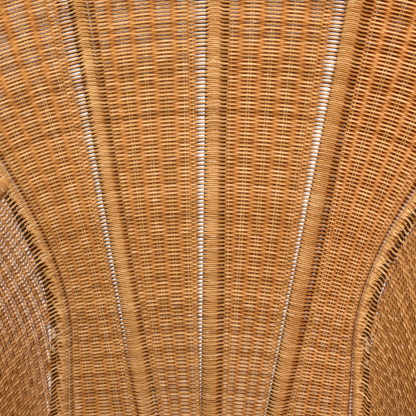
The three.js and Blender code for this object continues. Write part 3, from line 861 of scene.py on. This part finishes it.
hoop_arc = at_height(plan_ring(np.linspace(rear_corner, front_corner, ARC_STATIONS)), SEAT_HEIGHT)
wing_length = lengths_along(hoop_arc)[-1]
wing_height = ARM_HEIGHT_AT_BACK - SEAT_HEIGHT
first_row = -WING_ROW_TILT * wing_length
wing_drops = np.arange(first_row, wing_height, WING_ROW_PITCH)
wing_tones = rng.uniform(*OPEN_ROW_TONES, (2, wing_drops.size))
for side, mirror in SIDES.items():
    rest, drop = arm_rests[side], arm_drops[side]
    arc = hoop_arc * np.array([mirror, 1, 1])

    def wing_point(forward, rise, mirror=mirror, rest=rest, drop=drop, arc=arc):
        """A Coons patch: the blend of hoop and arm rest by rise, plus the blend of rib and front by forward,
        less the blend of the four corners by both."""
        forward, rise = (value[..., None] for value in np.broadcast_arrays(forward, rise))
        low, high = evenly(arc, forward[..., 0]), bezier(rest, forward[..., 0])
        rear = fan_point(mirror, SEAT_HEIGHT + wing_height * rise[..., 0])
        front = bezier(drop, 1 - rise[..., 0])
        corners = ((1 - rise) * ((1 - forward) * arc[0] + forward * drop[3])
                   + rise * ((1 - forward) * rest[0] + forward * drop[0]))
        return (1 - rise) * low + rise * high + (1 - forward) * rear + forward * front - corners

    # A row's drop below the arm rest grows on its way forward; it runs from the rib, or from under the
    # arm rest, to the front of the arm rail or to the seat hoop
    trial = np.linspace(0, 1, TRIAL_STATIONS)
    trial_drop = wing_drops[:, None] * (1 + WING_ROW_SPREAD * trial) + WING_ROW_TILT * wing_length * trial
    trial_rise = 1 - trial_drop / (bezier(rest, trial)[:, 2] - SEAT_HEIGHT)
    inside = (trial_rise > 0) & (trial_rise < 1)
    kept = inside.sum(axis=1) > LEAST_TRIALS
    low = trial[np.argmax(inside[kept], axis=1)][:, None]
    high = trial[trial.size - 1 - np.argmax(inside[kept, ::-1], axis=1)][:, None]
    forward = low + (high - low) * np.linspace(0, 1, WING_STATIONS)
    for place, from_pair, tones in (("front", 1, wing_tones[0]), ("rear", -1, wing_tones[1])):
        row_drop = wing_drops[kept, None] + from_pair * WING_PAIR_APART / 2
        fallen = row_drop * (1 + WING_ROW_SPREAD * forward) + WING_ROW_TILT * wing_length * forward
        rise = 1 - fallen / (bezier(rest, forward)[..., 2] - SEAT_HEIGHT)
        inward = mirror * facing_of(wing_point, forward, rise)
        stakes_passed = (forward + WING_STAKE_LEAN * (1 - rise)) * wing_length / WING_STAKE_PITCH
        beside_rib = np.where(low > 0, 0, np.clip(1 - forward * wing_length / FINGER_LENGTH, 0, 1))
        wave = WING_LIFT * np.cos(np.pi * stakes_passed)
        offset = from_pair * (wave + (OUTER_RIB_RADIUS + WING_STRAND_RADIUS - wave) * beside_rib)
        weave = round_strands(f"wing_{side}_{place}_rows",
                              wing_point(forward, rise) + offset[..., None] * inward, inward,
                              WING_STRAND_RADIUS, STRAND_SIDES, tones[kept, None], tucked(offset, WING_LIFT))
        fit(weave, woven_rattan, "wicker_weave", f"wing_{side}")

    # A thin rod along the edge of the wing beside the rib, under the rows that pass over it, is finished
    # near
    # black: a dark part put in as painted shade, which also stiffens the edge
    rod = wing_point(EDGE_ROD_PLACE / wing_length, np.linspace(*EDGE_ROD_ENDS, 2 * RIB_STATIONS))
    fit(bare_pole(f"wing_{side}_edge_rod", rod, EDGE_ROD_RADIUS), shaded_rattan, "wicker_weave")

    # Stakes lean forward from the seat hoop, or from the rib, to the arm rail
    count = int((1 + WING_STAKE_LEAN) * wing_length / WING_STAKE_PITCH)
    at_rail = (np.arange(1, count) * WING_STAKE_PITCH / wing_length)[:, None]
    nearest = FINGER_LENGTH / wing_length
    low = np.clip(1 - (at_rail - nearest) / WING_STAKE_LEAN, 0, 1)
    high = np.clip(1 - (at_rail - 1) / WING_STAKE_LEAN, 0, 1)
    chosen = (high - low)[:, 0] > LEAST_STAKE
    rise = (low + (high - low) * np.linspace(0, 1, STAKE_STATIONS // 2))[chosen]
    forward = at_rail[chosen] - WING_STAKE_LEAN * (1 - rise)
    stakes = round_strands(f"wing_{side}_stakes", wing_point(forward, rise),
                           facing_of(wing_point, forward, rise), WING_STAKE_RADIUS, STRAND_SIDES,
                           rng.uniform(*DARK_STAKE_TONES, (chosen.sum(), 1)), STAKE_SHADE)
    fit(stakes, woven_rattan, "wicker_weave")

# Skirt
# Eight panels of plain weave round the hourglass base, one to each bay between the base ribs. The rows run
# round the whole base, over and under nine stakes in a bay and the ribs between the bays.
SKIRT_PITCH = 0.00285
SKIRT_STRAND_RADIUS = 0.00165
SKIRT_STAKE_RADIUS = 0.0012
SKIRT_LIFT = 0.0026
SKIRT_STAKES = 9
SKIRT_STEPS = 3
SKIRT_ARC_STATIONS = 121

skirt_low = 2 * FLOOR_HOOP_RADIUS + SKIRT_STRAND_RADIUS
skirt_high = SEAT_HEIGHT - SEAT_HOOP_RADIUS - 2 * WINDING_RADIUS
skirt_heights = np.arange(skirt_low, skirt_high, SKIRT_PITCH)
skirt_tones = rng.uniform(*OPEN_ROW_TONES, skirt_heights.size)
skirt_knots = np.linspace(0, 1, SKIRT_STAKES + 2)
places = list(base_rib_angles)
angles = [*base_rib_angles.values(), 2 * np.pi]
for place, next_place, first, last in zip(places, [*places[1:], places[0]], angles, angles[1:]):
    arc = plan_ring(np.linspace(first, last, SKIRT_ARC_STATIONS))

    def skirt_point(share, height, arc=arc):
        """Point of the skirt: the bay's arc of the seat plan, scaled about its centre for the height."""
        share, height = np.broadcast_arrays(share, height)
        centre = np.array([0, SEAT_MIDDLE])
        plan = centre + (evenly(arc, share) - centre) * base_scale(height)[..., None]
        return at_height(plan, height)

    radii = [BASE_RIB_RADIUS + SKIRT_STRAND_RADIUS] * 2
    paths, front, offset = woven_rows(skirt_point, skirt_heights, skirt_knots, radii, SKIRT_LIFT,
                                      steps=SKIRT_STEPS)
    weave = round_strands(f"skirt_{place}_weave", paths, front, SKIRT_STRAND_RADIUS, STRAND_SIDES,
                          skirt_tones[:, None], tucked(offset, SKIRT_LIFT))
    fit(weave, woven_rattan, "wicker_weave", f"skirt_{place}_to_{next_place}")

    stake_shares = skirt_knots[1:-1, None]
    rise = np.linspace(FLOOR_HOOP_RADIUS, SEAT_HEIGHT, STAKE_STATIONS // 2)
    stakes = round_strands(f"skirt_{place}_stakes", skirt_point(stake_shares, rise),
                           facing_of(skirt_point, stake_shares, rise), SKIRT_STAKE_RADIUS, STRAND_SIDES,
                           rng.uniform(*DARK_STAKE_TONES, (SKIRT_STAKES, 1)), STAKE_SHADE)
    fit(stakes, woven_rattan, "wicker_weave")

# Seat deck
# A flat mat of plain weave on the seat bars. Its stakes run from front to back and its rows from side to
# side, and all of them are let in under the winding of the seat hoop.
DECK_PITCH = 0.0024
DECK_STRAND_RADIUS = 0.0014
DECK_STAKE_RADIUS = 0.0009
DECK_LIFT = 0.0016
DECK_STAKE_PITCH = 0.021
DECK_HEIGHT = 0.4402


def deck_point(share, y):
    """Point of the deck by its share of the seat's whole breadth and its distance from the centre."""
    share, y = np.broadcast_arrays(share, y)
    x = SEAT_HALF_WIDTH * (2 * share - 1)
    return np.stack([x, SEAT_MIDDLE + y, np.full(x.shape, DECK_HEIGHT)], axis=-1)


deck_rows = np.arange(-SEAT_HALF_DEPTH + DECK_PITCH, SEAT_HALF_DEPTH - DECK_PITCH, DECK_PITCH)
squareness = np.where(deck_rows >= 0, REAR_SQUARENESS, FRONT_SQUARENESS)
deck_reach = rounded(np.abs(deck_rows / SEAT_HALF_DEPTH), squareness) / 2
deck_stakes = np.arange(-SEAT_HALF_WIDTH + DECK_STAKE_PITCH, SEAT_HALF_WIDTH - DECK_STAKE_PITCH / 2,
                        DECK_STAKE_PITCH)
stake_shares = deck_stakes / SEAT_HALF_WIDTH / 2 + 0.5
deck_knots = np.array([0, *stake_shares, 1])
paths, front, offset = woven_rows(deck_point, deck_rows, deck_knots, [DECK_LIFT] * 2, DECK_LIFT,
                                  low=0.5 - deck_reach, high=0.5 + deck_reach)
weave = round_strands("seat_deck_weave", paths, front, DECK_STRAND_RADIUS, STRAND_SIDES,
                      rng.uniform(*OPEN_ROW_TONES, (deck_rows.size, 1)), tucked(offset, DECK_LIFT))
fit(weave, woven_rattan, "wicker_weave", "seat_deck")

aside = np.abs(deck_stakes / SEAT_HALF_WIDTH)
front_ends = -SEAT_HALF_DEPTH * rounded(aside, FRONT_SQUARENESS)
rear_ends = SEAT_HALF_DEPTH * rounded(aside, REAR_SQUARENESS)
along = np.linspace(front_ends, rear_ends, STAKE_STATIONS // 2, axis=1)
stakes = round_strands("seat_deck_stakes", deck_point(stake_shares[:, None], along), UPWARD,
                       DECK_STAKE_RADIUS, STRAND_SIDES,
                       rng.uniform(*DARK_STAKE_TONES, (deck_stakes.size, 1)), STAKE_SHADE)
fit(stakes, woven_rattan, "wicker_weave")

# Stage, light and camera
# A pale floor that fades to white away from the chair, a key light from above the front, softer lights
# from the left and from behind, and a plain white surround. The camera looks into the fan from close by.
FLOOR_SIZE = 12.0
FLOOR_COLOUR = (0.86, 0.85, 0.83, 1)
WHITE = (1, 1, 1, 1)
IMAGE_SIDE = 416
FOCAL_PIXELS = 762
CAMERA_DISTANCE = 1.105
CAMERA_YAW = 0.154
CAMERA_PITCH = 0.183
CAMERA_ROLL = -0.013
TARGET_X = -0.0064
TARGET_HEIGHT = 0.7596
SENSOR = 36.0
NEAR_CLIP = 0.01
FADE_FROM = 0.55
FADE_TO = 1.35
SURROUND_LIGHT = 0.3
LIGHT_TARGET = np.array([0, 0.1, 0.8])


def stand(thing, right, up, place):
    """Put a camera or lamp at a place, turned by its right and its up; it looks against their cross
    product."""
    turn = np.eye(4)
    turn[:3] = np.stack([right, up, np.cross(right, up), place], axis=1)
    thing.matrix_world = Matrix(turn.tolist())
    bpy.context.scene.collection.objects.link(thing)


def seen_directly(wire):
    """1 for a ray from the camera, or on from gloss or glass, and 0 for a ray that gathers light."""
    path = wire.node("ShaderNodeLightPath").socket.node
    seen, glossy, through = (Wire(wire.tree, path.outputs[f"Is {ray} Ray"])
                             for ray in ("Camera", "Glossy", "Transmission"))
    return wire.math("MAXIMUM", seen, wire.math("MAXIMUM", glossy, through))


forward = np.array([-np.sin(CAMERA_YAW) * np.cos(CAMERA_PITCH), np.cos(CAMERA_YAW) * np.cos(CAMERA_PITCH),
                    -np.sin(CAMERA_PITCH)])
level_right = np.array([np.cos(CAMERA_YAW), np.sin(CAMERA_YAW), 0])
level_up = np.cross(level_right, forward)
right = level_right * np.cos(CAMERA_ROLL) + level_up * np.sin(CAMERA_ROLL)
up = level_up * np.cos(CAMERA_ROLL) - level_right * np.sin(CAMERA_ROLL)
target = np.array([TARGET_X, SEAT_MIDDLE + SEAT_HALF_DEPTH + BACK_LEAN * (TARGET_HEIGHT - SEAT_HEIGHT),
                   TARGET_HEIGHT])
camera = bpy.data.objects.new("camera", bpy.data.cameras.new("camera"))
camera.data.sensor_width = SENSOR
camera.data.lens = SENSOR * FOCAL_PIXELS / IMAGE_SIDE
camera.data.clip_start = NEAR_CLIP
stand(camera, right, up, target - forward * CAMERA_DISTANCE)
bpy.context.scene.camera = camera

half = FLOOR_SIZE / 2
floor_mesh = bpy.data.meshes.new("floor")
floor_mesh.from_pydata([(-half, -half, 0), (half, -half, 0), (half, half, 0), (-half, half, 0)], [],
                       [(0, 1, 2, 3)])
floor = bpy.data.objects.new("floor", floor_mesh)
bpy.context.scene.collection.objects.link(floor)
floor_finish, floor_shader, wire = new_finish("pale floor")
spot = wire.node("ShaderNodeTexCoord", output=3)
away = wire.node("ShaderNodeVectorMath", {"operation": "LENGTH"}, {0: spot}, output=1)
fade = wire.node("ShaderNodeMapRange", {"interpolation_type": "SMOOTHSTEP"},
                 {0: away, 1: FADE_FROM, 2: FADE_TO})
white = wire.node("ShaderNodeEmission", None, {"Color": WHITE, "Strength": 1.0})
set_sockets(floor_shader, {"Base Color": FLOOR_COLOUR, "Roughness": 0.8})
matt = Wire(wire.tree, floor_shader.outputs[0])
blended = wire.node("ShaderNodeMixShader", None, {0: fade * seen_directly(wire), 1: matt, 2: white})
set_sockets(wire.tree.nodes["Material Output"], {"Surface": blended})
floor_mesh.materials.append(floor_finish)

world = bpy.data.worlds.new("surround")
bpy.context.scene.world = world
world.use_nodes = True
strength = seen_directly(Wire(world.node_tree)) * (1 - SURROUND_LIGHT) + SURROUND_LIGHT
set_sockets(world.node_tree.nodes["Background"], {"Color": WHITE, "Strength": strength})

for name, place, size, power in (
    ("key light", (0.4, -2.6, 2.4), 0.6, 118.0),
    ("fill light", (-2.2, -1.8, 1.6), 1.8, 37.0),
    ("back light", (-1.4, 2.8, 2.2), 1.8, 70.0),
):
    lamp = bpy.data.lights.new(name, "AREA")
    lamp.size = size
    lamp.energy = power
    holder = bpy.data.objects.new(name, lamp)
    back = unit(np.array(place) - LIGHT_TARGET)
    side = unit(np.cross(UPWARD, back))
    stand(holder, side, np.cross(back, side), place)

bpy.context.scene.view_settings.view_transform = "Standard"
